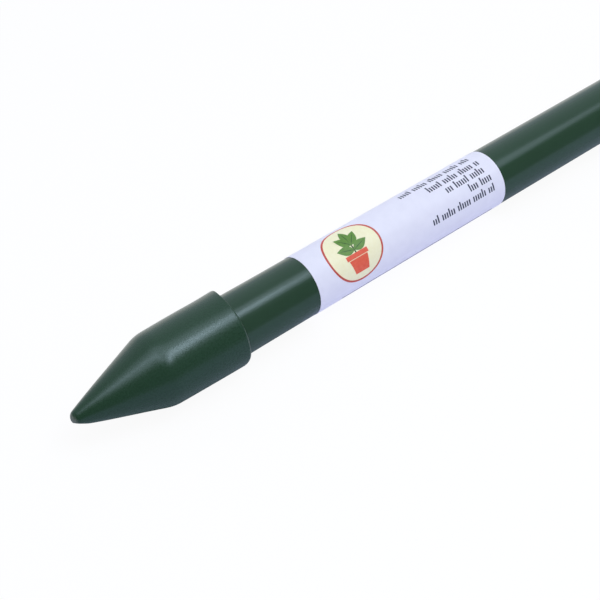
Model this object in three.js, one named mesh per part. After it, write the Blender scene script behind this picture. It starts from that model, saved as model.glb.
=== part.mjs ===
// Plastic-coated steel plant stake, lying along X with its point towards -X and its rims on z = 0.
// A welded steel tube is cased in an extruded plastic sleeve. A moulded point is pushed on one end,
// a moulded cap on the other, and a paper label is wrapped round the sleeve near the point.
// Units are millimetres and +Z is up. The origin lies under the middle of the stake.

import * as THREE from 'three';

// Whole stake, from the nose of the point to the crown of the cap
const STAKE_LENGTH = 750;

// Tube: the sleeve is bonded to the steel by a thin film of glue
const SLEEVE_DIAMETER = 16;
const SLEEVE_WALL = 0.5;
const BOND_FILM = 0.05;
const STEEL_WALL = 0.6;
const WELD_BEAD_WIDTH = 1.8;
const WELD_BEAD_HEIGHT = 0.3;

// Sockets of the two push-on mouldings: clearances are radial, and the walls draft in from the rim
const MOUTH_CLEARANCE = 0.15;
const SEAT_CLEARANCE = 0.05;
const SEAT_GAP = 0.05;
const LEAD_IN = 0.4;
const RIM_WALL = 1.72;
const RIM_ROUND = 0.4;
const WALL_DRAFT = 0.2;

// Point: a cone with a ball nose, a straight wall behind it, and a core that thins the cone
const POINT_CONE_LENGTH = 23.7;
const POINT_WALL_LENGTH = 21.85;
const POINT_NOSE_RADIUS = 2.2;
const POINT_SHOULDER_ROUND = 4;
const POINT_SEAT_RISE = 2.2;
const POINT_SEAT_LEDGE = 2.2;
const POINT_NOSE_SOLID = 10;
const POINT_CORE_END_RADIUS = 1.2;

// Cap: a cup with a flat crown
const CAP_SOCKET_DEPTH = 18;
const CAP_CROWN = 4;
const CAP_EDGE_ROUND = 3.5;

// Label: a strip that goes once round the sleeve and laps over its own start
const LABEL_FROM_RIM = 24;
const LABEL_LENGTH = 65.9;
const LABEL_THICKNESS = 0.06;
const LABEL_GLUE = 0.03;
const LABEL_OVERLAP = 6;
const LABEL_CLIMB = 1.4;
const LABEL_SEAM_DEG = 215;

// Facets round the stake, with a flat at the bottom, and steps along each rounded edge
const SIDES = 48;
const NOSE_STEPS = 6;
const ROUND_STEPS = 4;
const LABEL_STEPS = 66;

const sleeveRadius = SLEEVE_DIAMETER / 2;
const steelRadius = sleeveRadius - SLEEVE_WALL - BOND_FILM;
const mouthRadius = sleeveRadius + MOUTH_CLEARANCE;
const seatRadius = sleeveRadius + SEAT_CLEARANCE;
const rimRadius = mouthRadius + RIM_WALL;
const wallRadius = rimRadius - WALL_DRAFT;
const pointLength = POINT_CONE_LENGTH + POINT_WALL_LENGTH;
const pointSeat = POINT_CONE_LENGTH + POINT_SEAT_RISE;
const capLength = CAP_CROWN + CAP_SOCKET_DEPTH;
const tubeStart = pointSeat + SEAT_GAP;
const tubeEnd = STAKE_LENGTH - CAP_CROWN - SEAT_GAP;

// Profiles are drawn as (radius, height) and turned about the stake's axis, which is local Y
const at = (radius, height) => new THREE.Vector2(radius, height);

const turned = (profile) => new THREE.LatheGeometry(profile, SIDES, Math.PI / SIDES);

// Arc of a given radius that touches both lines meeting at a corner
function roundCorner(before, corner, after, radius) {
  const back = before.clone().sub(corner).normalize();
  const ahead = after.clone().sub(corner).normalize();
  const halfAngle = Math.acos(back.dot(ahead)) / 2;
  const reach = radius / Math.tan(halfAngle);
  const inwards = back.clone().add(ahead).normalize();
  const centre = corner.clone().addScaledVector(inwards, radius / Math.sin(halfAngle));
  const start = corner.clone().addScaledVector(back, reach).sub(centre);
  const end = corner.clone().addScaledVector(ahead, reach).sub(centre);
  const clockwise = back.cross(ahead) > 0;
  const arc = new THREE.EllipseCurve(
    centre.x, centre.y, radius, radius, start.angle(), end.angle(), clockwise);
  return arc.getPoints(ROUND_STEPS);
}

// Rim, lead-in and drafted socket of a moulding whose mouth is at its upper end
function socketProfile(wallFoot, length, seat) {
  const rim = at(rimRadius, length);
  const mouthEdge = at(mouthRadius + LEAD_IN, length);
  return [
    ...roundCorner(wallFoot, rim, mouthEdge, Math.min(RIM_ROUND, RIM_WALL / 3)),
    mouthEdge,
    at(mouthRadius, length - LEAD_IN),
    at(seatRadius, seat),
  ];
}

// The cone touches the nose ball, so its half angle follows from the shoulder and the ball
function pointGeometry() {
  const ball = at(0, POINT_NOSE_RADIUS);
  const shoulder = at(wallRadius, POINT_CONE_LENGTH);
  const reach = shoulder.clone().sub(ball);
  const halfAngle = Math.acos(POINT_NOSE_RADIUS / reach.length()) - Math.atan2(reach.y, reach.x);
  const noseArc = new THREE.EllipseCurve(
    ball.x, ball.y, POINT_NOSE_RADIUS, POINT_NOSE_RADIUS, -Math.PI / 2, -halfAngle);
  const nose = noseArc.getPoints(NOSE_STEPS).slice(1);
  const rim = at(rimRadius, pointLength);
  return turned([
    at(0, 0),
    ...nose,
    ...roundCorner(nose.at(-1), shoulder, rim, POINT_SHOULDER_ROUND),
    ...socketProfile(shoulder, pointLength, pointSeat),
    at(seatRadius - POINT_SEAT_LEDGE, pointSeat),
    at(POINT_CORE_END_RADIUS, POINT_NOSE_SOLID),
    at(0, POINT_NOSE_SOLID),
  ]);
}

// The cap is drawn with its crown at the bottom, like the point, and turned end for end on the stake
function capGeometry() {
  const crownCentre = at(0, 0);
  const crownEdge = at(wallRadius, 0);
  const rim = at(rimRadius, capLength);
  return turned([
    crownCentre,
    ...roundCorner(crownCentre, crownEdge, rim, CAP_EDGE_ROUND),
    ...socketProfile(crownEdge, capLength, CAP_CROWN),
    at(0, CAP_CROWN),
  ]);
}

function sleeveGeometry() {
  const inside = sleeveRadius - SLEEVE_WALL;
  const start = at(sleeveRadius, tubeStart);
  return turned([start, at(sleeveRadius, tubeEnd), at(inside, tubeEnd), at(inside, tubeStart), start]);
}

// A cross-section extruded along the stake, from one height to another
function extruded(section, start, end) {
  const options = { depth: end - start, bevelEnabled: false, curveSegments: SIDES / 2 };
  return new THREE.ExtrudeGeometry(section, options).rotateX(-Math.PI / 2).translate(0, start, 0);
}

// The strip is rolled round and welded along one seam, which leaves a bead inside the bore.
// The bead makes that side the heavier one, so the stake lies with its seam turned down.
function steelGeometry() {
  const bore = steelRadius - STEEL_WALL;
  const halfBead = WELD_BEAD_WIDTH / 2 / bore;
  const halfSide = Math.PI / SIDES;
  const section = new THREE.Shape().absarc(0, 0, steelRadius, halfSide, 2 * Math.PI + halfSide);
  const hole = new THREE.Path().absarc(0, 0, bore, halfBead, 2 * Math.PI - halfBead);
  const beadStart = at(bore * Math.cos(halfBead), bore * Math.sin(halfBead));
  hole.quadraticCurveTo(bore - 2 * WELD_BEAD_HEIGHT, 0, beadStart.x, beadStart.y);
  section.holes.push(hole);
  return extruded(section, tubeStart, tubeEnd).rotateY(Math.PI / 2);
}

// The strip lies on the sleeve for one turn, climbs its own thickness just before its start,
// and then lies on itself for the overlap. The seam is where the outer end stops.
function labelGeometry() {
  const inner = sleeveRadius + LABEL_GLUE;
  const lift = LABEL_THICKNESS + LABEL_GLUE;
  const overlap = LABEL_OVERLAP / inner;
  const climb = LABEL_CLIMB / inner;
  const seam = THREE.MathUtils.degToRad(LABEL_SEAM_DEG);
  const sweep = 2 * Math.PI + overlap;
  const liftAt = (turn) => lift * THREE.MathUtils.smoothstep(turn, 2 * Math.PI - climb, 2 * Math.PI);
  const spiral = (offset) => Array.from({ length: LABEL_STEPS + 1 }, (_, step) => {
    const turn = sweep * step / LABEL_STEPS;
    const angle = seam - sweep + turn;
    const radius = inner + liftAt(turn) + offset;
    return at(radius * Math.sin(angle), -radius * Math.cos(angle));
  });
  const section = new THREE.Shape([...spiral(LABEL_THICKNESS), ...spiral(0).reverse()]);
  const start = pointLength + LABEL_FROM_RIM;
  return extruded(section, start, start + LABEL_LENGTH);
}

function piece(name, geometry, color, roughness, metalness) {
  const mesh = new THREE.Mesh(geometry, new THREE.MeshStandardMaterial({ color, roughness, metalness }));
  mesh.name = name;
  return mesh;
}

const stake = new THREE.Group();
stake.rotation.z = -Math.PI / 2;
stake.position.set(-STAKE_LENGTH / 2, 0, rimRadius * Math.cos(Math.PI / SIDES));

const cap = piece('top_cap', capGeometry(), 0x2b4631, 0.42, 0);
cap.rotation.x = Math.PI;
cap.position.y = STAKE_LENGTH;

stake.add(
  piece('steel_tube', steelGeometry(), 0x8d9296, 0.45, 0.9),
  piece('plastic_sleeve', sleeveGeometry(), 0x2d4a34, 0.36, 0),
  piece('ground_point', pointGeometry(), 0x2b4631, 0.42, 0),
  piece('wrap_label', labelGeometry(), 0xe0e2f5, 0.6, 0),
  cap,
);

const scene = new THREE.Group();
scene.add(stake);

export default scene;
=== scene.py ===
# %% [markdown]
# # A coated plant stake, dressed in Blender
#
# The part is a garden stake: a steel tube cased in green plastic, with a moulded point pushed on its
# lower end, a moulded cap on its upper end and a paper label wrapped round it. A CAD program has
# already made its solids. This lesson gives each of them the surface that the eye sees.
#
# Every piece here is a surface worked out with numpy: a profile is carried round the stake's axis, or
# a flat shape is laid on the label. That suits this object, because a turned mould, a die and a press
# made its surfaces.

import math

import bmesh
import bpy
import numpy as np
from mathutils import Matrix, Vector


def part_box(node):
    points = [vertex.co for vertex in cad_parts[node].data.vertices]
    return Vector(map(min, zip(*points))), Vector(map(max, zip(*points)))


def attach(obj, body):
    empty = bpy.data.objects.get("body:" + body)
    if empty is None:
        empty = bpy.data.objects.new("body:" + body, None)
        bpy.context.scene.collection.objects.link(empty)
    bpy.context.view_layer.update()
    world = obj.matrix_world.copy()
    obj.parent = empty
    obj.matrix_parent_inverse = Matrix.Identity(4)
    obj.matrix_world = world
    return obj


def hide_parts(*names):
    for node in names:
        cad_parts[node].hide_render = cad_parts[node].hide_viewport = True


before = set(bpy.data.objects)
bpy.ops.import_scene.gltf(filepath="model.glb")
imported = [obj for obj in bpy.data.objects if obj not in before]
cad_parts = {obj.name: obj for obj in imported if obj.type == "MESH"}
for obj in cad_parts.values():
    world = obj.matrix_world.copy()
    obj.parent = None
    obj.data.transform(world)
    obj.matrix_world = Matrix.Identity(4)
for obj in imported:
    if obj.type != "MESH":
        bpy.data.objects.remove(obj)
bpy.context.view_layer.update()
print("CAD nodes:", sorted(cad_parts))

# %% [markdown]
# ## Sizes
#
# Blender works in metres here, and the CAD solids lie in the same frame: the stake along X, its point
# towards -X, the floor at z = 0. So the ends and radii of every piece can be read from the solids'
# boxes. The solids have 48 flat sides with a flat at the bottom, so half of a box's width is a little
# less than the round radius, by the cosine of half a side.

# %% Ends and radii of the solids
MM = 0.001
CAD_SIDES = 48
FLAT_TO_ROUND = 1 / math.cos(math.pi / CAD_SIDES)


def ends_and_radius(node):
    """Lowest and highest x of a solid, and its half width made into a round radius."""
    low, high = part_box(node)
    return low.x, high.x, (high.y - low.y) / 2 * FLAT_TO_ROUND


sleeve_start, sleeve_end, sleeve_radius = ends_and_radius("plastic_sleeve")
nose_x, rim_x, rim_radius = ends_and_radius("ground_point")
cap_rim_x, crown_x, cap_rim_radius = ends_and_radius("top_cap")
label_start, label_end, _ = ends_and_radius("wrap_label")
axis_z = (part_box("plastic_sleeve")[0].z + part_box("plastic_sleeve")[1].z) / 2
print(f"sleeve radius {sleeve_radius / MM:.2f} mm, rim radius {rim_radius / MM:.2f} mm")
print(f"axis {axis_z / MM:.2f} mm above the floor, label {(label_end - label_start) / MM:.1f} mm long")

# %% [markdown]
# ## From a grid of numbers to a mesh
#
# A mesh could be built vertex by vertex, but a surface is easier to think of as a grid: one parameter
# runs along the rows and one along the columns, and every cell becomes a quad. The whole grid is one
# numpy array. Where the surface closes round the stake, the last column joins the first. Where a row
# shrinks to one point, as at the nose, merging the doubles closes the pole.

# %% Grid to mesh
MERGE_DISTANCE = 0.0001 * MM
SHARP_ANGLE = math.radians(40)


def sharpen_border(mesh):
    """Marks edges of one face only as sharp too, so that a sheet given a thickness has crisp edges."""
    edge_of_corner = np.empty(len(mesh.loops), np.int32)
    mesh.loops.foreach_get("edge_index", edge_of_corner)
    sharp = np.empty(len(mesh.edges), bool)
    mesh.edges.foreach_get("use_edge_sharp", sharp)
    faces_on_edge = np.bincount(edge_of_corner, minlength=len(mesh.edges))
    mesh.edges.foreach_set("use_edge_sharp", sharp | (faces_on_edge == 1))


def grid_object(name, points, material, around=False):
    """Mesh object from grids of points.

    points has the shape (grids, rows, columns, 3). Cell (row, column) of each grid becomes the quad of
    its four corners. It faces the side from which rows grow along +X while columns turn from +Z to -Y.
    With around, the last column is joined to the first.
    """
    grids, rows, columns, _ = points.shape
    number = np.arange(grids * rows * columns).reshape(grids, rows, columns)
    if around:
        number = np.concatenate([number, number[:, :, :1]], axis=2)
    corners = [number[:, :-1, :-1], number[:, :-1, 1:], number[:, 1:, 1:], number[:, 1:, :-1]]
    quads = np.stack(corners, axis=-1)
    mesh = bpy.data.meshes.new(name)
    mesh.from_pydata(points.reshape(-1, 3).tolist(), [], quads.reshape(-1, 4).tolist())
    shape = bmesh.new()
    shape.from_mesh(mesh)
    bmesh.ops.remove_doubles(shape, verts=shape.verts, dist=MERGE_DISTANCE)
    shape.to_mesh(mesh)
    shape.free()
    mesh.shade_smooth()
    mesh.set_sharp_from_angle(angle=SHARP_ANGLE)
    sharpen_border(mesh)
    mesh.materials.append(material)
    made = bpy.data.objects.new(name, mesh)
    bpy.context.scene.collection.objects.link(made)
    return made


print(f"edges that bend by more than {math.degrees(SHARP_ANGLE):.0f} degrees stay sharp")

# %% [markdown]
# Two more helpers are for every piece. One takes a place along the stake, a radius and a turn, which
# describe a round thing best, and returns x, y and z. The other hands a finished piece to the frame.

# %% Round the axis, and into the frame
def round_axis(along, radius, turn):
    """Points at a place along the stake and a radius from its axis, turned from +Z towards -Y.

    y is minus the radius times the sine of the turn. z is the axis's height plus the radius times its
    cosine.
    """
    along, radius, turn = np.broadcast_arrays(along, radius, turn)
    return np.stack([along, -radius * np.sin(turn), axis_z + radius * np.cos(turn)], axis=-1)


def seat(piece, slot, *nodes):
    """The piece rides on the stake's one body and stands for CAD nodes, which it hides; slot is not used.
    """
    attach(piece, "root")
    if nodes:
        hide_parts(*nodes)
    print(f"{piece.name}: {len(piece.data.polygons)} faces")
    return piece


print("top of the sleeve at its start:", round_axis(sleeve_start, sleeve_radius, 0).round(4))

# %% [markdown]
# ## Profiles
#
# A moulding's half section is a chain of straight stretches and soft corners. Each helper below returns
# the points of one of them as rows of (place along the stake, radius). A straight stretch leaves out its
# end, because the next one starts there, so that no point comes twice.
#
# A corner can be soft in two ways. A cutter leaves an arc, whose bend starts and stops at once. Plastic
# that shrinks leaves a bend that grows and fades, and a highlight runs over it without a break.

# %% Straight stretches and soft corners
EASE_PULLS = np.array([[1], [0.6], [0.2]])


def stretch(start, end, count):
    """Points in equal steps on the straight line from start towards end, with the end left out."""
    share = np.linspace(0, 1, count, endpoint=False)[:, None]
    return (1 - share) * np.asarray(start) + share * np.asarray(end)


def directions(before, corner, after):
    """Unit vectors from a corner back to the point before it and ahead to the point after it."""
    back = (before - corner) / np.linalg.norm(before - corner)
    ahead = (after - corner) / np.linalg.norm(after - corner)
    return back, ahead


def rounded(before, corner, after, radius, count):
    """Arc that touches both lines meeting at a corner.

    Its centre lies on the bisector, at radius / sin(half the corner's angle) from the corner. The arc
    turns the vector to the first touching point into the vector to the second at a steady rate.
    """
    back, ahead = directions(before, corner, after)
    half = math.acos(back @ ahead) / 2
    bisector = (back + ahead) / np.linalg.norm(back + ahead)
    centre = corner + bisector * radius / math.sin(half)
    first = corner + back * radius / math.tan(half) - centre
    last = corner + ahead * radius / math.tan(half) - centre
    sweep = math.pi - 2 * half
    share = np.linspace(0, 1, count)[:, None]
    return centre + (np.sin((1 - share) * sweep) * first + np.sin(share * sweep) * last) / math.sin(sweep)


def eased(before, corner, after, reach, count):
    """Corner whose bend grows from nothing and goes back to nothing.

    It is a Bezier curve of six points, three on each line that meets at the corner, at EASE_PULLS times
    the reach from it. A point's weight is its binomial number times powers of the share and of its rest.
    """
    back, ahead = directions(before, corner, after)
    pulls = reach * EASE_PULLS
    controls = np.concatenate([corner + pulls * back, corner + pulls[::-1] * ahead])
    order = np.arange(len(controls))
    degree = order[-1]
    binomial = np.array([math.comb(degree, step) for step in order])
    share = np.linspace(0, 1, count)[:, None]
    weights = binomial * share**order * (1 - share) ** (degree - order)
    return weights @ controls


square_corner = (np.array([1, 0]), np.array([0, 0]), np.array([0, 1]))
print("middle of a square corner rounded by 1:", rounded(*square_corner, 1, 3)[1].round(3))
print("middle of it when eased over 1:", eased(*square_corner, 1, 3)[1].round(3))

# %% [markdown]
# ## Material helpers
#
# Colours are written as they look on a screen, in sRGB hex, and one function turns them into the linear
# light that shaders work with. One more function adds a node and feeds it: what an input is given is
# linked if it is a socket and set as a value if not, so a material reads as a list of its nodes.

# %% Colour and node helpers
# A Mix node has sockets of the same names for numbers, vectors and colours, so those for colours go by
# their place in the list
MIX_SHARE = 0
MIX_FIRST = 6
MIX_SECOND = 7
MIX_RESULT = 2


def linear(hex_code):
    """sRGB hex to linear RGBA: below 0.04045 the curve is a line, above it a power of 2.4."""
    screen = np.array([int(hex_code[i : i + 2], 16) for i in (1, 3, 5)]) / 255
    light = np.where(screen <= 0.04045, screen / 12.92, ((screen + 0.055) / 1.055) ** 2.4)
    return (*light.tolist(), 1.0)


def feed(tree, node, inputs):
    """Links the inputs of a node that are given a socket, and sets those that are given a value."""
    for name, value in inputs.items():
        if isinstance(value, bpy.types.NodeSocket):
            tree.links.new(value, node.inputs[name])
        else:
            node.inputs[name].default_value = value


def add(tree, kind, inputs=None, **settings):
    """Adds a node of a kind, with its settings, and feeds its inputs."""
    node = tree.nodes.new(kind)
    for name, value in settings.items():
        setattr(node, name, value)
    feed(tree, node, inputs or {})
    return node


def new_finish(name, constants):
    """Material with a Principled shader whose sockets hold the constants."""
    material = bpy.data.materials.new(name)
    material.use_nodes = True
    tree = material.node_tree
    shader = tree.nodes["Principled BSDF"]
    feed(tree, shader, constants)
    return material, tree, shader


print(f"#808080, the screen's middle grey, is {linear('#808080')[0]:.3f} of full light")

# %% [markdown]
# ## Extruded polyethylene
#
# The sleeve is polyethylene that a ring-shaped die lays over the running steel tube. Every nick in the
# die draws a faint line along the whole stake, so the gloss is broken across the tube and even along
# it. A picture of such lines could be wrapped round the tube, but it would have an end. A noise that is
# stretched along X has none: it is under half a millimetre across a line and several centimetres along
# it. Real die lines are finer than that, and here they are as coarse as they need to be to show.

# %% Extruded polyethylene
# A noise keeps mostly between these two values
NOISE_LOW = 0.3
NOISE_HIGH = 0.7
PLASTIC = {"IOR": 1.5, "Specular Tint": linear("#e6f9ff")}
DIE_LINE_WIDTH = 0.4 * MM
DIE_LINE_LENGTH = 60 * MM
DIE_LINE_DEPTH = 0.009 * MM
PIGMENT_CLOUD = 14 * MM
SLEEVE_ROUGHNESS = (0.18, 0.23)


def lengthwise_lines(tree, place, length, width):
    """Noise that is drawn out along the stake, as a die or a roll draws its marks."""
    stretched = add(tree, "ShaderNodeMapping", {
        "Vector": place, "Scale": (1 / length, 1 / width, 1 / width),
    }).outputs["Vector"]
    return add(tree, "ShaderNodeTexNoise", {
        "Vector": stretched, "Scale": 1.0, "Detail": 3.0,
    }).outputs["Fac"]


def extruded_polyethylene():
    """Satin plastic with lengthwise die lines in its gloss and a slow drift in its pigment."""
    material, tree, shader = new_finish("extruded polyethylene", PLASTIC)
    place = add(tree, "ShaderNodeTexCoord").outputs["Object"]
    lines = lengthwise_lines(tree, place, DIE_LINE_LENGTH, DIE_LINE_WIDTH)
    cloud = add(tree, "ShaderNodeTexNoise", {
        "Vector": place, "Scale": 1 / PIGMENT_CLOUD, "Detail": 2.0,
    }).outputs["Fac"]
    colour = add(tree, "ShaderNodeMix", {
        MIX_SHARE: cloud, MIX_FIRST: linear("#263d28"), MIX_SECOND: linear("#2a432d"),
    }, data_type="RGBA").outputs[MIX_RESULT]
    gloss = add(tree, "ShaderNodeMapRange", {
        "Value": lines, "From Min": NOISE_LOW, "From Max": NOISE_HIGH,
        "To Min": SLEEVE_ROUGHNESS[0], "To Max": SLEEVE_ROUGHNESS[1],
    }).outputs["Result"]
    relief = add(tree, "ShaderNodeBump", {
        "Height": lines, "Strength": 0.6, "Distance": DIE_LINE_DEPTH,
    }).outputs["Normal"]
    feed(tree, shader, {"Base Color": colour, "Roughness": gloss, "Normal": relief})
    return material


sleeve_plastic = extruded_polyethylene()
print("material:", sleeve_plastic.name)

# %% [markdown]
# ## Injection-moulded polyethylene
#
# The point and the cap are moulded. Their steel mould was blasted, and the plastic shrinks as it sets,
# so the skin has a fine grain and a slight orange peel. Edges that knock against other stakes in the
# box lose their gloss and look paler. Those scuffs could be painted by hand. Here each moulding's mesh
# carries an attribute called wear_and_highlight, worked out from the place of each vertex, so that the
# scuffs follow the edges and not a fixed place in space. On the point's rim the same pale colour is
# also a painted highlight of the rim's edge.

# %% Injection-moulded polyethylene
PEEL_WIDTH = 1.1 * MM
PEEL_DEPTH = 0.006 * MM
GRAIN_WIDTH = 0.6 * MM
MOULDED_ROUGHNESS = (0.25, 0.31)
SCUFF_AND_HIGHLIGHT_WIDTH = 0.45 * MM
SCUFF_AND_HIGHLIGHT_LIMITS = (0.25, 0.6)
SCUFF_ROUGHENING = 0.2


def moulded_polyethylene():
    """Satin plastic with orange peel in its relief, grain in its gloss and pale scuffs where it wears,
    which on the point's rim are also a painted highlight.
    """
    material, tree, shader = new_finish("injection-moulded polyethylene", PLASTIC)
    place = add(tree, "ShaderNodeTexCoord").outputs["Object"]
    peel = add(tree, "ShaderNodeTexNoise", {
        "Vector": place, "Scale": 1 / PEEL_WIDTH, "Detail": 1.0,
    }).outputs["Fac"]
    grain = add(tree, "ShaderNodeTexNoise", {
        "Vector": place, "Scale": 1 / GRAIN_WIDTH, "Detail": 2.0,
    }).outputs["Fac"]
    patches = add(tree, "ShaderNodeTexNoise", {
        "Vector": place, "Scale": 1 / SCUFF_AND_HIGHLIGHT_WIDTH, "Detail": 4.0,
    }).outputs["Fac"]
    # The attribute holds wear, and on the point's rim a painted highlight as well
    wear_and_highlight = add(tree, "ShaderNodeAttribute", attribute_name="wear_and_highlight").outputs["Fac"]
    patches_of_wear_and_highlight = add(tree, "ShaderNodeMath", {0: patches, 1: wear_and_highlight}, operation="MULTIPLY").outputs[0]
    scuff_and_highlight = add(tree, "ShaderNodeMapRange", {
        "Value": patches_of_wear_and_highlight, "From Min": SCUFF_AND_HIGHLIGHT_LIMITS[0], "From Max": SCUFF_AND_HIGHLIGHT_LIMITS[1],
    }).outputs["Result"]
    sound = add(tree, "ShaderNodeMix", {
        MIX_SHARE: grain, MIX_FIRST: linear("#1e3922"), MIX_SECOND: linear("#233f27"),
    }, data_type="RGBA").outputs[MIX_RESULT]
    # Pale colour of scuffs, which on the point's rim also stands for a painted highlight of its edge
    colour = add(tree, "ShaderNodeMix", {
        MIX_SHARE: scuff_and_highlight, MIX_FIRST: sound, MIX_SECOND: linear("#666c5c"),
    }, data_type="RGBA").outputs[MIX_RESULT]
    satin = add(tree, "ShaderNodeMapRange", {
        "Value": grain, "From Min": NOISE_LOW, "From Max": NOISE_HIGH,
        "To Min": MOULDED_ROUGHNESS[0], "To Max": MOULDED_ROUGHNESS[1],
    }).outputs["Result"]
    gloss = add(tree, "ShaderNodeMath", {
        0: scuff_and_highlight, 1: SCUFF_ROUGHENING, 2: satin,
    }, operation="MULTIPLY_ADD").outputs[0]
    relief = add(tree, "ShaderNodeBump", {
        "Height": peel, "Strength": 0.3, "Distance": PEEL_DEPTH,
    }).outputs["Normal"]
    feed(tree, shader, {"Base Color": colour, "Roughness": gloss, "Normal": relief})
    return material


moulded_plastic = moulded_polyethylene()
print("material:", moulded_plastic.name)

# %% [markdown]
# ## Label paper and printing inks
#
# The label is paper with a smooth clay coating and a cool, brightened white. The coating is never quite
# even, so the white is mottled by a few parts in a hundred over a few millimetres, and the fibres beneath
# it show as a very low relief. A scan of paper could give both, but two noises are enough at this size.
#
# Ink lies in the coating as a thin film. A flat area of it varies a little in density, as the press
# squeezes it, so every ink has the same mottle over its own colour, and one function makes them all.

# %% Coated paper and inks
MOTTLE_WIDTH = 2.5 * MM
FIBRE_WIDTH = 0.35 * MM
FIBRE_DEPTH = 0.006 * MM
INK_MOTTLE_WIDTH = 0.8 * MM


def coated_paper():
    """Cool white paper with a faint mottle and a low relief of fibres."""
    material, tree, shader = new_finish("coated label paper", {"IOR": 1.45, "Roughness": 0.5})
    place = add(tree, "ShaderNodeTexCoord").outputs["Object"]
    mottle = add(tree, "ShaderNodeTexNoise", {
        "Vector": place, "Scale": 1 / MOTTLE_WIDTH, "Detail": 3.0,
    }).outputs["Fac"]
    fibres = add(tree, "ShaderNodeTexNoise", {
        "Vector": place, "Scale": 1 / FIBRE_WIDTH, "Detail": 2.0,
    }).outputs["Fac"]
    colour = add(tree, "ShaderNodeMix", {
        MIX_SHARE: mottle, MIX_FIRST: linear("#dfdde6"), MIX_SECOND: linear("#e9e7ee"),
    }, data_type="RGBA").outputs[MIX_RESULT]
    relief = add(tree, "ShaderNodeBump", {
        "Height": fibres, "Strength": 0.3, "Distance": FIBRE_DEPTH,
    }).outputs["Normal"]
    feed(tree, shader, {"Base Color": colour, "Normal": relief})
    return material


def printing_ink(name, thin, dense):
    """Ink film whose density drifts between two colours."""
    material, tree, shader = new_finish(name, {"IOR": 1.45, "Roughness": 0.45})
    place = add(tree, "ShaderNodeTexCoord").outputs["Object"]
    density = add(tree, "ShaderNodeTexNoise", {
        "Vector": place, "Scale": 1 / INK_MOTTLE_WIDTH, "Detail": 3.0,
    }).outputs["Fac"]
    colour = add(tree, "ShaderNodeMix", {
        MIX_SHARE: density, MIX_FIRST: linear(thin), MIX_SECOND: linear(dense),
    }, data_type="RGBA").outputs[MIX_RESULT]
    feed(tree, shader, {"Base Color": colour})
    return material


label_paper = coated_paper()
cream_ink = printing_ink("printing ink, cream", "#f7f2cf", "#efe7b6")
red_ink = printing_ink("printing ink, red", "#ea6f52", "#dc4d36")
keyline_ink = printing_ink("printing ink, dark red", "#cf5a48", "#b8443a")
green_ink = printing_ink("printing ink, leaf green", "#6f9a3f", "#4c7a2c")
dark_green_ink = printing_ink("printing ink, dark green", "#3d5f2a", "#2c4a20")
# This grey serves the small print, and also the painted shade line along the label's lower edge
print_and_shade_grey = printing_ink("blue grey of print and painted shade", "#3f4056", "#2b2c3e")
print("materials:", label_paper.name, "and six inks")

# %% [markdown]
# ## Cold-rolled steel
#
# The tube inside is rolled from cold strip and welded along one seam. It can't be seen in the whole
# stake, so a new surface would be wasted on it: its CAD solid stays, and only gets the finish of rolled
# strip, a grey metal with fine rolling lines along it.

# %% Cold-rolled steel on the tube's own solid
ROLLING_LINE_WIDTH = 0.3 * MM
ROLLING_LINE_LENGTH = 30 * MM
STEEL_ROUGHNESS = (0.3, 0.5)


def cold_rolled_steel():
    """Grey metal whose roughness varies in fine lines along the stake."""
    material, tree, shader = new_finish("cold-rolled steel", {"Metallic": 1.0})
    place = add(tree, "ShaderNodeTexCoord").outputs["Object"]
    lines = lengthwise_lines(tree, place, ROLLING_LINE_LENGTH, ROLLING_LINE_WIDTH)
    colour = add(tree, "ShaderNodeMix", {
        MIX_SHARE: lines, MIX_FIRST: linear("#a4a6a8"), MIX_SECOND: linear("#bdbfc0"),
    }, data_type="RGBA").outputs[MIX_RESULT]
    gloss = add(tree, "ShaderNodeMapRange", {
        "Value": lines, "From Min": NOISE_LOW, "From Max": NOISE_HIGH,
        "To Min": STEEL_ROUGHNESS[0], "To Max": STEEL_ROUGHNESS[1],
    }).outputs["Result"]
    feed(tree, shader, {"Base Color": colour, "Roughness": gloss})
    return material


steel_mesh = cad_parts["steel_tube"].data
steel_mesh.materials.clear()
steel_mesh.materials.append(cold_rolled_steel())
print("steel_tube keeps its solid, with", steel_mesh.materials[0].name)

# %% [markdown]
# ## The sleeve
#
# The sleeve is a plain tube, open at both ends, half a millimetre thick. Its outside could be a
# cylinder primitive, but a drawn plastic skin is never that true: it swells and thins by a hundredth of
# a millimetre over a few centimetres, and that is what makes a long highlight waver. So the profile is
# a closed ring of straight stretches, and the outer ones get two slow waves that run round and along.
# Where the point was driven on, it pushed up the plastic in front of its rim.

# %% Sleeve
SLEEVE_WALL = 0.5 * MM
SWELL = 0.008 * MM
SWELL_LENGTH = 55 * MM
SWELL_WAVES = ((3, 1), (2, -1.7))
PUSHED_UP = 0.1 * MM
PUSHED_LENGTH = 5 * MM
PUSHED_FADES = 5
SOCKETED_ROWS = 8
PUSHED_ROWS = 40
FREE_ROWS = 200
SLEEVE_COLUMNS = 144


def sleeve_profile():
    """Half section of the sleeve: straight along the outside, and back along the inside to its start."""
    outer_start = (sleeve_start, sleeve_radius)
    rim_end = (rim_x, sleeve_radius)
    pushed_end = (rim_x + PUSHED_FADES * PUSHED_LENGTH, sleeve_radius)
    outer_end = (sleeve_end, sleeve_radius)
    inner_start = (sleeve_start, sleeve_radius - SLEEVE_WALL)
    inner_end = (sleeve_end, sleeve_radius - SLEEVE_WALL)
    return np.concatenate([
        stretch(outer_start, rim_end, SOCKETED_ROWS),
        stretch(rim_end, pushed_end, PUSHED_ROWS),
        stretch(pushed_end, outer_end, FREE_ROWS),
        [outer_end, inner_end, inner_start, outer_start],
    ])


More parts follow.
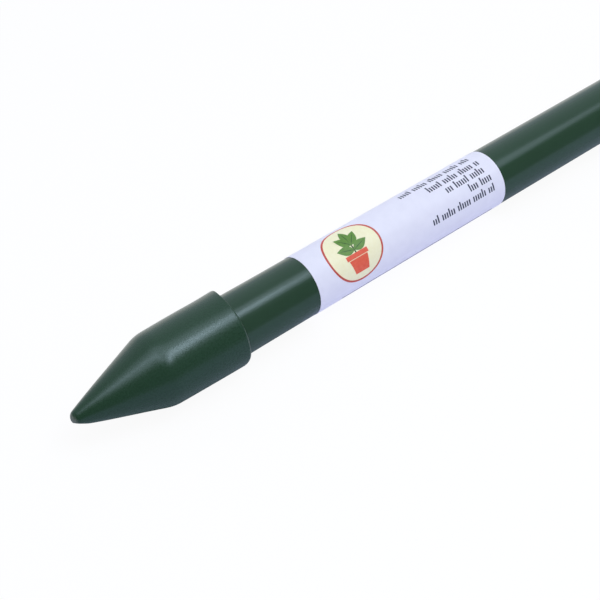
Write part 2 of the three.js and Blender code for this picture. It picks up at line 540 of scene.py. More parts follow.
def sleeve_points():
    """The half section carried round the axis.

    Outside, the radius gains SWELL times the sum of the waves, and PUSHED_UP at the point's rim, which
    fades along the stake by a power of e. A wave is the sine of its first number times the turn plus its
    second number times the place over SWELL_LENGTH.
    """
    section = sleeve_profile()
    along, radius = section[:, :1], section[:, 1:]
    turn = np.linspace(0, 2 * math.pi, SLEEVE_COLUMNS, endpoint=False)
    waves = sum(np.sin(about * turn + ahead * along / SWELL_LENGTH) for about, ahead in SWELL_WAVES)
    past_rim = along - rim_x
    pushed = np.where(past_rim >= 0, PUSHED_UP * np.exp(-np.abs(past_rim) / PUSHED_LENGTH), 0)
    outside = np.isclose(radius, sleeve_radius)
    return round_axis(along, radius + outside * (SWELL * waves + pushed), turn)[None]


sleeve = grid_object("sleeve", sleeve_points(), sleeve_plastic, around=True)
seat(sleeve, "extruded_green_plastic", "plastic_sleeve")

# %% [markdown]
# ## The ground point
#
# The point is one moulding: a blunt nose, a cone, a soft shoulder and a straight wall with a socket in
# it, where the tube is pushed in. It could be cut from a cylinder by hand, but as a body of revolution
# it needs only half a section. What makes it look moulded comes on top of that, as small changes of
# radius and place over the grid:
#
# - the wall and the cone bulge a little between their ends, because the thick shoulder shrinks more;
# - the two halves of the mould leave a fine ridge along each side;
# - the rim runs out as a tongue at one ridge, where the mould was filled last, and as a short lip near
#   the other;
# - the rim is crisp round the tongue and worn round on the other side;
# - the mould's core bent aside as the plastic came in, so the skin stands off centre by a hair;
# - the nose is drawn out a little and worn flat underneath.
#
# The socket comes first, because the cap has one like it: a lead-in that guides the tube, then a wall
# that closes in by a tenth of a millimetre down to the seat.

# %% Socket of a moulding
MOUTH_CLEARANCE = 0.15 * MM
SEAT_CLEARANCE = 0.05 * MM
LEAD_IN = 0.4 * MM
LEAD_IN_ROWS = 3
SOCKET_ROWS = 12
mouth_radius = sleeve_radius + MOUTH_CLEARANCE
seat_radius = sleeve_radius + SEAT_CLEARANCE


def socket_profile(rim, inwards, seat_x):
    """Lead-in and drafted wall of a socket, as straight stretches from the rim's face to the seat.

    inwards is +1 or -1, the direction along the stake from the rim into the socket.
    """
    mouth_edge = (rim, mouth_radius + LEAD_IN)
    mouth = (rim + inwards * LEAD_IN, mouth_radius)
    seat_edge = (seat_x, seat_radius)
    lead_in = stretch(mouth_edge, mouth, LEAD_IN_ROWS)
    wall = stretch(mouth, seat_edge, SOCKET_ROWS)
    return np.concatenate([lead_in, wall, [seat_edge]])


print(f"socket: {mouth_radius / MM:.2f} mm in radius at its mouth, {seat_radius / MM:.2f} mm at its seat")

# %% [markdown]
# Now the whole half section. The cone touches the ball of the nose, and the wall behind it has a slight
# draft, so that the moulding could leave its mould. The section is made twice, with a crisp rim and with
# a worn one. Both have the same number of points, so that they can be blended.

# %% Half section of the point
CONE_LENGTH = 23.7 * MM
NOSE_RADIUS = 2.0 * MM
NOSE_DRAW = 0.25 * MM
SHOULDER_REACH = 2.6 * MM
WALL_DRAFT = 0.2 * MM
CRISP_RIM = 0.08 * MM
WORN_RIM = 0.85 * MM
SEAT_RISE = 2.2 * MM
SEAT_LEDGE = 2.2 * MM
NOSE_SOLID = 10 * MM
CORE_END_RADIUS = 1.2 * MM
NOSE_ROWS = 16
CONE_ROWS = 72
SHOULDER_ROWS = 24
WALL_ROWS = 80
RIM_ROWS = 20
CORE_ROWS = 8
ball_x = nose_x - NOSE_DRAW + NOSE_RADIUS
shoulder_x = nose_x + CONE_LENGTH
core_x = nose_x + NOSE_SOLID
wall_radius = rim_radius - WALL_DRAFT


def point_profile(rim_round):
    """Half section of the point, from the middle of its nose over the outside and back to the axis.

    The cone touches the nose's ball, so its half angle is the angle of the line from the ball's centre
    to the shoulder, less what the ball's radius takes off.
    """
    ball = np.array([ball_x, 0])
    shoulder = np.array([shoulder_x, wall_radius])
    reach = shoulder - ball
    half_angle = math.acos(NOSE_RADIUS / np.linalg.norm(reach)) - math.atan2(reach[0], reach[1])
    swing = np.linspace(-math.pi / 2, -half_angle, NOSE_ROWS)
    nose = ball + NOSE_RADIUS * np.stack([np.sin(swing), np.cos(swing)], axis=1)
    rim = np.array([rim_x, rim_radius])
    mouth_edge = np.array([rim_x, mouth_radius + LEAD_IN])
    turn_in = eased(nose[-1], shoulder, rim, SHOULDER_REACH, SHOULDER_ROWS)
    rim_edge = rounded(shoulder, rim, mouth_edge, rim_round, RIM_ROWS)
    seat_x = shoulder_x + SEAT_RISE
    return np.concatenate([
        nose[:-1],
        stretch(nose[-1], turn_in[0], CONE_ROWS),
        turn_in[:-1],
        stretch(turn_in[-1], rim_edge[0], WALL_ROWS),
        rim_edge,
        socket_profile(rim_x, -1, seat_x),
        stretch((seat_x, seat_radius - SEAT_LEDGE), (core_x, CORE_END_RADIUS), CORE_ROWS),
        [(core_x, CORE_END_RADIUS), (core_x, 0)],
    ])


crisp_profile = point_profile(CRISP_RIM)
worn_profile = point_profile(WORN_RIM)
print(f"half section of the point: {len(crisp_profile)} points")

# %% [markdown]
# The parting ridges are fine, so the columns have to lie close together there and can lie wide apart
# elsewhere. A finer grid all round would do, at five times the faces. Here the columns are gathered: a
# column's turn is its even turn minus a sine of twice that turn, which narrows the steps to a fifth at
# the ridges and widens them in between.

# %% Columns and parting ridges
PARTING_TURN = math.radians(-51)
PARTING_HEIGHT = 0.045 * MM
PARTING_SHARPNESS = 700
MOULDING_COLUMNS = 288
GATHERING = 0.8


def gathered_turns():
    """Turns round the axis whose steps are 1 - GATHERING times the even step at both parting ridges."""
    even = np.linspace(0, 2 * math.pi, MOULDING_COLUMNS, endpoint=False)
    return even - GATHERING / 2 * np.sin(2 * (even - PARTING_TURN))


def parting_ridge(turn):
    """Height of the two ridges: a power of e that falls from 1 as the cosine of twice the turn falls."""
    return PARTING_HEIGHT * np.exp(PARTING_SHARPNESS * (np.cos(2 * (turn - PARTING_TURN)) - 1))


steps = np.degrees(np.diff(gathered_turns()))
print(f"columns are {steps.min():.2f} to {steps.max():.2f} degrees apart")

# %% [markdown]
# The other departures are worked out the same way, from the place along the stake and the turn round it.
# A bell, which is 1 at one turn and falls off on both sides, says how far round the rim a change reaches.

# %% The moulding's departures from a true body of revolution
CONE_BULGE = 0.13 * MM
CONE_BULGE_POWER = 0.6
WALL_BULGE = 0.07 * MM
OVAL = 0.012 * MM
CORE_SHIFT = 0.12 * MM
CORE_SHIFT_TURN = math.radians(-51)
CORE_SHIFT_WAVES = 1.32


def bell(turn, middle, sharpness):
    """1 at the middle turn, falling by a power of e as the cosine of the turn from it falls."""
    return np.exp(sharpness * (np.cos(turn - middle) - 1))


def core_shift(along):
    """Sideways step of the skin: CORE_SHIFT times the sine of CORE_SHIFT_WAVES pi share.

    The share runs from 0 at the rim to 1 at the nose.
    """
    share = np.clip((rim_x - along) / (rim_x - nose_x), 0, 1)
    sideways = np.array([0, -math.sin(CORE_SHIFT_TURN), math.cos(CORE_SHIFT_TURN)])
    return CORE_SHIFT * np.sin(CORE_SHIFT_WAVES * math.pi * share)[..., None] * sideways


def point_skin(along, radius, turn):
    """How far the outside stands proud of the half section.

    The cone's bulge goes as the squared sine of pi times a power of the share, the wall's as the sine of
    pi share, with the share from one end to the other. The ridges and the oval, a cosine of twice the
    turn, fade towards the nose as the radius does.
    """
    cone_share = np.clip((along - nose_x) / CONE_LENGTH, 0, 1)
    wall_share = np.clip((along - shoulder_x) / (rim_x - shoulder_x), 0, 1)
    cone_bulge = CONE_BULGE * np.sin(math.pi * cone_share**CONE_BULGE_POWER) ** 2
    wall_bulge = WALL_BULGE * np.sin(math.pi * wall_share)
    fade = np.clip(radius / wall_radius, 0, 1)
    return cone_bulge + wall_bulge + fade * (parting_ridge(turn) + OVAL * np.cos(2 * turn))


shoulder_step = np.linalg.norm(core_shift(shoulder_x))
print(f"the skin is off centre by {shoulder_step / MM:.2f} mm at the shoulder")

# %% [markdown]
# The rim's tongue and lip come last. They draw the points out along the stake, most at the rim and less
# and less towards the cone, as hot plastic is drawn.

# %% The point's grid
TONGUE_TURN = math.radians(-48)
TONGUE_REACH = 1.4 * MM
TONGUE_FLARE = 0.2 * MM
TONGUE_FADE = 6 * MM
TONGUE_SHARPNESS = 8.5
CRISP_SHARPNESS = 2
CRISP_REACH = 1.6
LIP_TURN = math.radians(105)
LIP_REACH = 0.3 * MM
LIP_SHARPNESS = 12


def point_points():
    """The half section carried round the axis, crisp at the rim by a wide bell and worn elsewhere.

    The tongue's bell moves points near the rim along the stake and outwards, and the lip's only along it,
    by the square of how near they are. The skin, the flare and the core shift move the outside alone, so
    that the socket stays on the tube.
    """
    turn = gathered_turns()
    tongue = bell(turn, TONGUE_TURN, TONGUE_SHARPNESS)
    lip = bell(turn, LIP_TURN, LIP_SHARPNESS)
    crisp = np.clip(CRISP_REACH * bell(turn, TONGUE_TURN, CRISP_SHARPNESS), 0, 1)
    blended = worn_profile[:, None] + crisp[:, None] * (crisp_profile - worn_profile)[:, None]
    along, radius = blended[..., 0], blended[..., 1]
    outside = (np.arange(len(crisp_profile)) <= np.argmax(crisp_profile[:, 0]))[:, None]
    near_rim = np.clip((along - rim_x + TONGUE_FADE) / TONGUE_FADE, 0, 1) ** 2
    drawn_out = along + near_rim * (TONGUE_REACH * tongue + LIP_REACH * lip)
    proud = point_skin(along, radius, turn) + TONGUE_FLARE * near_rim * tongue
    points = round_axis(drawn_out, radius + outside * proud, turn)
    return points + outside[..., None] * core_shift(along)


moulded_points = point_points()
print(f"the tongue ends {(moulded_points[..., 0].max() - rim_x) / MM:.2f} mm past the rim")

# %% [markdown]
# The worn flat is a plane that the nose doesn't reach past. Cutting the mesh along it would leave a
# hard edge. Pressing the points back by a soft excess keeps the grid whole and the edge rounded.

# %% Worn nose, then the point itself
FLAT_FACING = np.array([-0.497, -0.478, -0.725])
FLAT_DISTANCE = 1.6 * MM
FLAT_SOFTNESS = 0.06 * MM
flat_facing = FLAT_FACING / np.linalg.norm(FLAT_FACING)


def worn_flat(points):
    """Presses points of the nose back behind a plane.

    The excess past the plane is softened as softness times ln(1 + e^(excess / softness)).
    """
    ball = np.array([ball_x, 0, axis_z]) + core_shift(ball_x)
    near_nose = points[..., :1] < core_x
    past = (points - ball) @ flat_facing - FLAT_DISTANCE
    excess = FLAT_SOFTNESS * np.logaddexp(0, past / FLAT_SOFTNESS)
    return points - near_nose * excess[..., None] * flat_facing


worn_points = worn_flat(moulded_points)
point = grid_object("ground_point_moulding", worn_points[None], moulded_plastic, around=True)
seat(point, "moulded_green_plastic", "ground_point")

# %% [markdown]
# The point is scuffed where it knocks against other stakes: at the tip, and on the near side of its rim.
# There the pale band is also a painted highlight of the rim's edge. The scuffs could be pieces of their
# own, but they have no thickness. So the wear and that painted highlight are stored on the vertices,
# and the finish of the moulded plastic reads them there.

# %% Wear of the point, with a painted highlight on its rim
TIP_FACING = np.array([-0.97, 0, -0.24])
TIP_WEAR = 1.3
TIP_WEAR_COSINES = (0.2, 0.85)
# The pale band on the rim's near side is wear and a painted highlight of the rim's edge
RIM_WEAR_AND_HIGHLIGHT = 1.6
RIM_WEAR_AND_HIGHLIGHT_LENGTH = 0.5 * MM
RIM_WEAR_AND_HIGHLIGHT_TURN = math.radians(85)
RIM_WEAR_AND_HIGHLIGHT_SHARPNESS = 2


def set_wear_and_highlight(piece, wear_at):
    """Stores on every vertex how worn it is, and on the point's rim a painted highlight too, as a
    function of its place, and prints the mean.
    """
    mesh = piece.data
    places = np.empty(len(mesh.vertices) * 3, np.float32)
    mesh.vertices.foreach_get("co", places)
    worn = wear_at(places.reshape(-1, 3)).astype(np.float32)
    wear_and_highlight = mesh.attributes.new("wear_and_highlight", "FLOAT", "POINT")
    wear_and_highlight.data.foreach_set("value", worn)
    print(f"{piece.name}: mean wear {worn.mean():.3f}")


def point_wear_and_highlight(places):
    """Wear of the tip, and of the rim, whose pale band is also a painted highlight of its edge.

    At the tip, wearing rises with the cosine of the angle from the middle of the tip's worn patch. On the
    rim, wearing and painted highlight fall along the stake by a power of e, and round the rim by a bell.
    """
    from_ball = places - np.array([ball_x, 0, axis_z])
    towards_tip = from_ball @ TIP_FACING / np.linalg.norm(from_ball, axis=1)
    tip_wear = np.interp(towards_tip, TIP_WEAR_COSINES, (0, 1))
    from_rim = np.abs(rim_x - places[:, 0])
    turn = np.arctan2(-places[:, 1], places[:, 2] - axis_z)
    # Painted highlight and wear on the rim's near side, towards the camera
    rim_wear_and_highlight = np.exp(-from_rim / RIM_WEAR_AND_HIGHLIGHT_LENGTH) * bell(turn, RIM_WEAR_AND_HIGHLIGHT_TURN, RIM_WEAR_AND_HIGHLIGHT_SHARPNESS)
    return TIP_WEAR * tip_wear + RIM_WEAR_AND_HIGHLIGHT * rim_wear_and_highlight


set_wear_and_highlight(point, point_wear_and_highlight)

# %% [markdown]
# ## The top cap
#
# The cap is the point's plain sister: a cup with a flat crown, pushed on the upper end so that the cut
# steel is closed. It was filled through a gate in the middle of the crown, which leaves a shallow dimple
# with a torn nub in it. The CAD cup could be bevelled, but it would have no dimple. So it is a half
# section again, which runs the other way along the stake, from the rim to the crown.

# %% Half section of the cap
CAP_CROWN = 4 * MM
CAP_EDGE_ROUND = 3.5 * MM
GATE_RADIUS = 1.6 * MM
GATE_DEPTH = 0.35 * MM
GATE_NUB_RADIUS = 0.5 * MM
CAP_RIM_ROWS = 8
CAP_WALL_ROWS = 30
CROWN_EDGE_ROWS = 16
CROWN_ROWS = 6
DIMPLE_ROWS = 10


def gate_dimple():
    """Dimple and nub of the gate: half a cosine wave down, and a nub that rises by half of that."""
    share = np.linspace(0, 1, DIMPLE_ROWS)
    along = crown_x - GATE_DEPTH * (1 - np.cos(math.pi * share)) / 2
    radius = GATE_RADIUS + (GATE_NUB_RADIUS - GATE_RADIUS) * share
    nub_x = crown_x - GATE_DEPTH / 2
    return np.concatenate([np.stack([along, radius], axis=1), [(nub_x, GATE_NUB_RADIUS / 2), (nub_x, 0)]])


def cap_profile():
    """Half section of the cap, from the middle of its socket's floor round the rim to its crown."""
    rim = np.array([cap_rim_x, cap_rim_radius])
    mouth_edge = np.array([cap_rim_x, mouth_radius + LEAD_IN])
    crown_edge = np.array([crown_x, wall_radius])
    gate_edge = np.array([crown_x, GATE_RADIUS])
    floor_x = crown_x - CAP_CROWN
    rim_edge = rounded(mouth_edge, rim, crown_edge, CRISP_RIM, CAP_RIM_ROWS)
    crown_round = rounded(rim, crown_edge, gate_edge, CAP_EDGE_ROUND, CROWN_EDGE_ROWS)
    return np.concatenate([
        [(floor_x, 0)],
        socket_profile(cap_rim_x, 1, floor_x)[::-1],
        rim_edge,
        stretch(rim_edge[-1], crown_round[0], CAP_WALL_ROWS)[1:],
        crown_round,
        stretch(crown_round[-1], gate_edge, CROWN_ROWS)[1:],
        gate_dimple(),
    ])


cap_section = cap_profile()
print(f"half section of the cap: {len(cap_section)} points")

# %% [markdown]
# The cap came from a mould of two halves too, so it gets the same ridges and the same slight oval. On the
# crown they fade fast. Its wear is round the edge of the crown, which meets other stakes first.

# %% Cap
CAP_FADE_POWER = 4
CROWN_WEAR = 0.7
CROWN_WEAR_LENGTH = 1.5 * MM


def cap_points(section):
    """The half section carried round the axis, with the parting ridges and the oval outside."""
    along, radius = section[:, :1], section[:, 1:]
    turn = gathered_turns()
    outside = (np.arange(len(section)) >= np.argmax(section[:, 1]))[:, None]
    fade = np.clip((radius / wall_radius) ** CAP_FADE_POWER, 0, 1)
    skin = fade * (parting_ridge(turn) + OVAL * np.cos(2 * turn))
    return round_axis(along, radius + outside * skin, turn)[None]


def cap_wear(places):
    """Wear that falls from the crown by a power of e and rises with the square of the radius."""
    from_crown = crown_x - places[:, 0]
    off_axis = np.hypot(places[:, 1], places[:, 2] - axis_z) / wall_radius
    return CROWN_WEAR * np.exp(-from_crown / CROWN_WEAR_LENGTH) * np.clip(off_axis, 0, 1) ** 2


cap = grid_object("top_cap_moulding", cap_points(cap_section), moulded_plastic, around=True)
set_wear_and_highlight(cap, cap_wear)
seat(cap, "moulded_green_plastic", "top_cap")

# %% [markdown]
# ## The label
#
# The label is a strip of paper that goes once round the sleeve and laps over its own start underneath.
# A tube of paper would be simpler, but then there is no lap and no edge to see. So one parameter runs
# round, through a full turn and the lap, and the other along. The strip was put on by hand, so it is a
# little askew, and its outer end lifts by a hair. A Solidify modifier gives the sheet its thickness.

# %% Label
PAPER = 0.06 * MM
GLUE = 0.03 * MM
LAP = 6 * MM
CLIMB = 1.4 * MM
SEAM_TURN = math.radians(215)
END_LIFT = 0.08 * MM
END_LIFT_LENGTH = 1.5 * MM
LABEL_SKEW = -0.022
LABEL_ROWS = 48
LABEL_COLUMNS = 220
face_radius = sleeve_radius + GLUE + PAPER


def label_points():
    """Outer face of the strip.

    The radius is the face radius, plus one layer on the lap after a climb of 3 share^2 - 2 share^3, plus
    an end lift that fades from the outer end by a power of e. The place along is the even place plus the
    skew times the arc.
    """
    lap_turn = LAP / face_radius
    sweep = 2 * math.pi + lap_turn
    travelled = np.linspace(0, sweep, LABEL_COLUMNS)
    turn = SEAM_TURN - sweep + travelled
    climb_share = np.clip((travelled - 2 * math.pi) * face_radius / CLIMB + 1, 0, 1)
    layer = (PAPER + GLUE) * climb_share**2 * (3 - 2 * climb_share)
    to_end = (sweep - travelled) * face_radius
    lift = END_LIFT * np.exp(-to_end / END_LIFT_LENGTH)
    along = np.linspace(label_start, label_end, LABEL_ROWS)[:, None]
    return round_axis(along + LABEL_SKEW * face_radius * turn, face_radius + layer + lift, turn)[None]


def thicken(piece, thickness):
    """Gives a sheet its thickness, all of it behind the face that it was drawn on."""
    wall = piece.modifiers.new("thickness", "SOLIDIFY")
    wall.thickness = thickness
    wall.offset = -1


label = grid_object("paper_label", label_points(), label_paper)
thicken(label, PAPER)
seat(label, "label_paper", "wrap_label")

# %% [markdown]
# ## The print on the label
#
# Print could be painted by the paper's material, but its edges would then be only as sharp as a baked
# picture of it. Each printed shape is a thin film of its own instead. It is drawn flat, in distances
# along the label from its near edge and round it from straight up, and one function lays it on the paper.

# %% Laying flat shapes on the label
INK_LIFT = 0.02 * MM
INK_FILM = 0.012 * MM


def print_on_label(name, along, arc, ink, layer=1):
    """Film of ink over grids of flat places.

    The turn is the arc over the face radius. The radius is the face radius plus a lift for each layer.
    """
    along, arc = np.broadcast_arrays(along, arc)
    turn = arc / face_radius
    points = round_axis(label_start + along + LABEL_SKEW * arc, face_radius + layer * INK_LIFT, turn)
    film = grid_object(name, points.reshape(-1, *points.shape[-3:]), ink)
    thicken(film, INK_FILM)
    return seat(film, "label_paper")


print(f"a millimetre round the label turns by {math.degrees(MM / face_radius):.2f} degrees")

# %% [markdown]
# The badge is a plain one of a potted seedling: a cream disc in a red ring, with a pot, a stem and five
# leaves. A disc or ring is a grid of radius and angle. A pot is a grid whose width changes with height.
# A leaf is a grid along its rib, with a half width that swells and closes as a sine.

# %% Flat shapes of the badge
BADGE_ALONG = 14.3 * MM
BADGE_ARC = 4.15 * MM
BADGE_RADIUS = 8.1 * MM
RING_WIDTH = 0.55 * MM
DISC_ROWS = 14
RING_ROWS = 3
ROUND_STEPS = 97
ACROSS_STEPS = 9
DOWN_STEPS = 13
RIB_STEPS = 25
LEAF_POWER = 0.8


def disc(inner, outer, rows):
    """Flat ring, or disc where inner is 0: radius times the cosine and sine of the angle."""
    radius = np.linspace(inner, outer, rows)[:, None]
    angle = np.linspace(0, 2 * math.pi, ROUND_STEPS)
    return BADGE_ALONG + radius * np.cos(angle), BADGE_ARC + radius * np.sin(angle)


def upright(top, bottom, top_half_width, bottom_half_width):
    """Flat shape with straight sides, whose half width changes evenly from top to bottom."""
    across = np.linspace(-1, 1, ACROSS_STEPS)[:, None]
    down = np.linspace(0, 1, DOWN_STEPS)
    half_width = top_half_width + (bottom_half_width - top_half_width) * down
    return BADGE_ALONG + across * half_width, BADGE_ARC + top + (bottom - top) * down


def leaf(base, facing, length, half_width):
    """Flat leaf: along its rib by a share, across it by half width times sine of pi share^LEAF_POWER."""
    share = np.linspace(0, 1, RIB_STEPS)[:, None]
    across = np.linspace(-1, 1, ACROSS_STEPS) * half_width * np.sin(math.pi * share**LEAF_POWER)
    rib = np.array([math.cos(facing), math.sin(facing)])
    along = BADGE_ALONG + share * length * rib[0] - across * rib[1]
    arc = BADGE_ARC + base + share * length * rib[1] + across * rib[0]
    return along, arc


print_on_label("badge_disc", *disc(0, BADGE_RADIUS, DISC_ROWS), cream_ink)
print_on_label("badge_ring", *disc(BADGE_RADIUS, BADGE_RADIUS + RING_WIDTH, RING_ROWS), keyline_ink)

# %% [markdown]
# The seedling goes on the disc, in inks that lie one over the other: pot and stem first, then the leaves,
# then their ribs. Each leaf has a base on the stem, a facing in degrees, a length and a half width.

# %% The potted seedling
POT_RIM_TOP = 1.0 * MM
POT_TOP = 2.4 * MM
POT_BOTTOM = 6.2 * MM
POT_GAP = 0.15 * MM
POT_HALF_WIDTHS = (3.0 * MM, 2.2 * MM)
POT_RIM_HALF_WIDTHS = (3.5 * MM, 3.5 * MM)
STEM_TOP = -2.6 * MM
STEM_HALF_WIDTHS = (0.2 * MM, 0.2 * MM)
RIB_SHARE = 0.85
RIB_HALF_WIDTH = 0.1 * MM
LEAF_SHAPES = (
    (0.2 * MM, 196, 5.0 * MM, 1.3 * MM),
    (0.2 * MM, 344, 5.0 * MM, 1.3 * MM),
    (-1.2 * MM, 228, 4.8 * MM, 1.3 * MM),
    (-1.2 * MM, 312, 4.8 * MM, 1.3 * MM),
    (-2.2 * MM, 270, 4.4 * MM, 1.2 * MM),
)

pot = upright(POT_TOP, POT_BOTTOM, *POT_HALF_WIDTHS)
pot_rim = upright(POT_RIM_TOP, POT_TOP - POT_GAP, *POT_RIM_HALF_WIDTHS)
stem = upright(STEM_TOP, POT_RIM_TOP, *STEM_HALF_WIDTHS)
print_on_label("badge_pot", *pot, red_ink, layer=2)
print_on_label("badge_pot_rim", *pot_rim, red_ink, layer=2)
print_on_label("badge_stem", *stem, dark_green_ink, layer=2)
for number, (base, facing, length, half_width) in enumerate(LEAF_SHAPES, start=1):
    blade = leaf(base, math.radians(facing), length, half_width)
    print_on_label(f"badge_leaf_{number}", *blade, green_ink, layer=3)
    rib = leaf(base, math.radians(facing), RIB_SHARE * length, RIB_HALF_WIDTH)
    print_on_label(f"badge_leaf_rib_{number}", *rib, dark_green_ink, layer=4)

# %% [markdown]
# Beyond the badge are five lines of small print. They say nothing here: rows of short upright strokes,
# some of them taller, with a gap after every few, give the grey and the rhythm of small print without
# a letter. Each line has a near end and a far end along the label and a place round it. A grey line
# along the foot of the printed area, near the label's lower edge, is painted shade and not print.

# %% Lines of small print and a painted shade line
PRINT_ROWS = (
    (35.2 * MM, 61.2 * MM, -2.65 * MM),
    (42.9 * MM, 62.1 * MM, 0.5 * MM),
    (47.6 * MM, 62.4 * MM, 3.2 * MM),
    (53.9 * MM, 62.4 * MM, 5.95 * MM),
    (38.8 * MM, 62.3 * MM, 8.95 * MM),
)
STROKE_PITCH = 0.82 * MM
STROKE_WIDTH = 0.45 * MM
STROKE_STEPS = 6
LOW_STROKE = 1.5 * MM
TALL_STROKE = 2.2 * MM
GAP_EVERY = 7
GAP_SHIFT = 2
TALL_EVERY = 5
# The grey line below is painted shade along the label's lower edge, not print
SHADE_LINE_ENDS = (8.0 * MM, 62.3 * MM)
SHADE_LINE_ARCS = (16.4 * MM, 16.9 * MM)
SHADE_LINE_ROWS = 40


def small_print_row(number, near, far, arc):
    """Upright strokes in equal steps back from the far end.

    One step in GAP_EVERY is left out and one in TALL_EVERY is tall, counted from elsewhere in each row.
    """
    step = np.arange(int((far - near) / STROKE_PITCH))
    step = step[(step + GAP_SHIFT * number + 1) % GAP_EVERY != 0]
    tall = (step - number) % TALL_EVERY == 0
    height = np.where(tall, TALL_STROKE, LOW_STROKE)[:, None, None]
    middle = (far - (step + 0.5) * STROKE_PITCH)[:, None, None]
    along = middle + STROKE_WIDTH / 2 * np.array([-1, 1])[:, None]
    foot = arc + LOW_STROKE / 2
    return along, foot - height * np.linspace(1, 0, STROKE_STEPS)


for number, row in enumerate(PRINT_ROWS, start=1):
    print_on_label(f"small_print_{number}", *small_print_row(number, *row), print_and_shade_grey)
# Painted shade: a grey line along the label's lower edge, next to the shade under the stake
shade_line_along = np.linspace(*SHADE_LINE_ENDS, SHADE_LINE_ROWS)[:, None]
print_on_label("painted_shade_line", shade_line_along, np.linspace(*SHADE_LINE_ARCS, STROKE_STEPS), print_and_shade_grey)

# %% [markdown]
# ## Floor and light
#
# A packshot of this kind is taken on a white table under softboxes, with pale walls round it and a dark
# room behind the camera. The table could be plain white board, but then the shadow would be too deep. It
# is lit from below as well, as a packshot table is: most of its white is light of its own, so the shadow
# stays but is faint, and the underside of the stake is bright. The light is bluish, and the camera shows
# it as plain white.

# %% Floor
FLOOR_HALF = 12.0
FLOOR_DROP = 0.03 * MM
FLOOR_GLOW = 1.45
FLOOR_WHITE_SHARE = 0.94


def white_table():
    """Matt board with light of its own, which is white where seen or mirrored and bluish elsewhere."""
    material = bpy.data.materials.new("milk-white acrylic")
    material.use_nodes = True
    tree = material.node_tree
    tree.nodes.clear()
    ray = add(tree, "ShaderNodeLightPath").outputs
    mirrored = add(tree, "ShaderNodeMath", {
        0: ray["Is Glossy Ray"], 1: ray["Is Transmission Ray"],
    }, operation="MAXIMUM").outputs[0]
    seen = add(tree, "ShaderNodeMath", {
        0: ray["Is Camera Ray"], 1: mirrored,
    }, operation="MAXIMUM").outputs[0]
    board = add(tree, "ShaderNodeBsdfDiffuse", {"Color": linear("#f4f8ff")}).outputs[0]
    glow = add(tree, "ShaderNodeEmission", {
        "Color": linear("#dce1ff"), "Strength": FLOOR_GLOW,
    }).outputs[0]
    white = add(tree, "ShaderNodeEmission", {"Color": linear("#ffffff"), "Strength": 1.0}).outputs[0]
    own_light = add(tree, "ShaderNodeMixShader", {0: seen, 1: glow, 2: white}).outputs[0]
    mixed = add(tree, "ShaderNodeMixShader", {0: FLOOR_WHITE_SHARE, 1: board, 2: own_light}).outputs[0]
    add(tree, "ShaderNodeOutputMaterial", {"Surface": mixed})
    return material


floor_ends = np.array([-FLOOR_HALF, FLOOR_HALF])
floor_points = np.stack(np.broadcast_arrays(floor_ends[:, None], -floor_ends, -FLOOR_DROP), axis=-1)
floor = grid_object("floor", floor_points[None], white_table())
print(f"{floor.name}: {2 * FLOOR_HALF:.0f} m wide, {floor.data.materials[0].name}")

# %% [markdown]
# What a satin plastic shows is mostly what it mirrors. Two cards that only reflections see stand for the
# rest of the studio: a dark grey one upright behind the camera makes the deep green below the streak, and
# a blue-grey one flat in front of the stake dims the mirrored table, as the shade of a camera stand does.

# %% Cards that only reflections see
ROOM_CARD_Y = -0.6
ROOM_CARD_HEIGHTS = np.array([0, 1.05])
ROOM_CARD_ENDS = np.array([-1.5, 1.5])
TABLE_CARD_ENDS = np.array([-1.3, 1.3])
TABLE_CARD_SIDES = np.array([0.02, -0.4])
TABLE_CARD_DROP = 0.01 * MM


def mirrored_card(name, points, finish, colour):
    """Card of one plain colour, seen by glossy rays alone."""
    card_finish, _, _ = new_finish(finish, {"Roughness": 1.0, "Base Color": linear(colour)})
    card = grid_object(name, np.stack(np.broadcast_arrays(*points), axis=-1)[None], card_finish)
    card.visible_camera = False
    card.visible_diffuse = False
    card.visible_transmission = False
    card.visible_shadow = False
    print(f"{name}: {finish}")


room_corners = (ROOM_CARD_ENDS[:, None], ROOM_CARD_Y, ROOM_CARD_HEIGHTS)
table_corners = (TABLE_CARD_ENDS[:, None], TABLE_CARD_SIDES, -TABLE_CARD_DROP)
mirrored_card("dark_room", room_corners, "dark grey felt", "#5a5d61")
mirrored_card("shaded_table", table_corners, "blue-grey paper", "#b3b8ca")

# %% [markdown]
# Four softboxes hang over the stake: a long, dim one in line with it, a bright one across it that makes
# the glint on the point's wall, a small one past the nose for the cone, and a dim one that joins the last
# two. They hang one above the other, because a mirrored ray goes on through a lamp to the next one, but
# meets only one of two in the same plane.

# %% Softboxes
SOFTBOX_TINT = (0.835, 0.89, 1.0)
SHARE_OF_RECTANGLE = {"RECTANGLE": 1, "ELLIPSE": math.pi / 4}


def softbox(name, shape, place, size, turn, radiance):
    """Flat light facing down, with a place and size in metres and a turn in degrees.

    Its power in watts is radiance times pi times its area.
    """
    length, width = size
    light = bpy.data.lights.new(name, "AREA")
    light.shape = shape
    light.size = length
    light.size_y = width
    light.energy = radiance * math.pi * length * width * SHARE_OF_RECTANGLE[shape]
    light.color = SOFTBOX_TINT
    box = bpy.data.objects.new(name, light)
    box.location = place
    box.rotation_euler = (0, 0, math.radians(turn))
    box.visible_camera = False
    bpy.context.scene.collection.objects.link(box)
    print(f"{name}: {light.energy:.2f} W")


softbox("long_softbox", "RECTANGLE", (-0.096, -0.071, 0.6), (0.95, 0.305), turn=-26, radiance=1.67)
softbox("bright_softbox", "ELLIPSE", (-0.149, -0.307, 0.61), (0.136, 0.496), turn=-30, radiance=10.2)
softbox("small_softbox", "ELLIPSE", (-0.456, -0.127, 0.62), (0.142, 0.414), turn=17, radiance=3.7)
softbox("joining_softbox", "ELLIPSE", (-0.264, -0.229, 0.63), (0.144, 0.32), turn=-2, radiance=2.3)

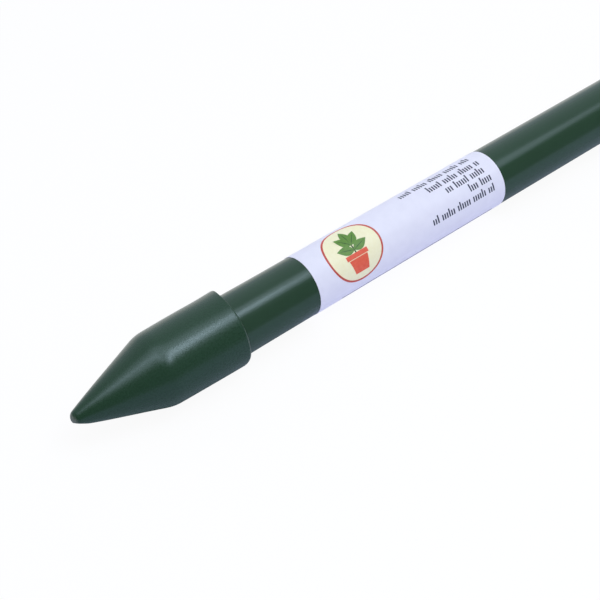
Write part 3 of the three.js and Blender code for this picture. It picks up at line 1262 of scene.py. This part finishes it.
# %% [markdown]
# The room round them is pale, and darker behind the camera. Walls could be built and lit, but a world
# whose strength leans with the direction is smoother and renders faster. The Standard view shows colours
# as they are, with no film curve over them.

# %% Pale room
ROOM_LEVEL = 0.475
ROOM_LEAN = (0.43, 0.69, 0)


def pale_room():
    """World whose light leans to one side: level times (1 + lean dot direction)."""
    world = bpy.data.worlds.new("pale room")
    world.use_nodes = True
    tree = world.node_tree
    direction = add(tree, "ShaderNodeTexCoord").outputs["Generated"]
    leaning = add(tree, "ShaderNodeVectorMath", {
        0: direction, 1: ROOM_LEAN,
    }, operation="DOT_PRODUCT").outputs["Value"]
    level = add(tree, "ShaderNodeMath", {
        0: leaning, 1: ROOM_LEVEL, 2: ROOM_LEVEL,
    }, operation="MULTIPLY_ADD").outputs[0]
    feed(tree, tree.nodes["Background"], {"Color": linear("#e6edff"), "Strength": level})
    return world


bpy.context.scene.world = pale_room()
bpy.context.scene.view_settings.view_transform = "Standard"
lean = np.linalg.norm(ROOM_LEAN)
print(f"room from {ROOM_LEVEL * (1 - lean):.2f} on its dark side to {ROOM_LEVEL * (1 + lean):.2f}")

# %% [markdown]
# ## Camera
#
# The camera stands in front of the point and above it, and looks along the stake with a long lens. It
# could be aimed at an empty, but an elevation and a heading say the same in two numbers. Its place is
# given from the tip of the nose, so that it follows the point if the stake gets longer.

# %% Camera
LENS = 91.89
SENSOR = 36.0
CAMERA_FROM_NOSE = (-114.81 * MM, -214.71 * MM, 263.20 * MM)
CAMERA_ELEVATION = 43.44
CAMERA_HEADING = 49.39

lens = bpy.data.cameras.new("camera")
lens.lens = LENS
lens.sensor_width = SENSOR
camera = bpy.data.objects.new("camera", lens)
camera.location = np.array([nose_x, 0, axis_z]) + CAMERA_FROM_NOSE
camera.rotation_euler = (math.radians(90 - CAMERA_ELEVATION), 0, math.radians(CAMERA_HEADING - 90))
bpy.context.scene.collection.objects.link(camera)
bpy.context.scene.camera = camera
print("camera at", tuple(round(value, 4) for value in camera.location))
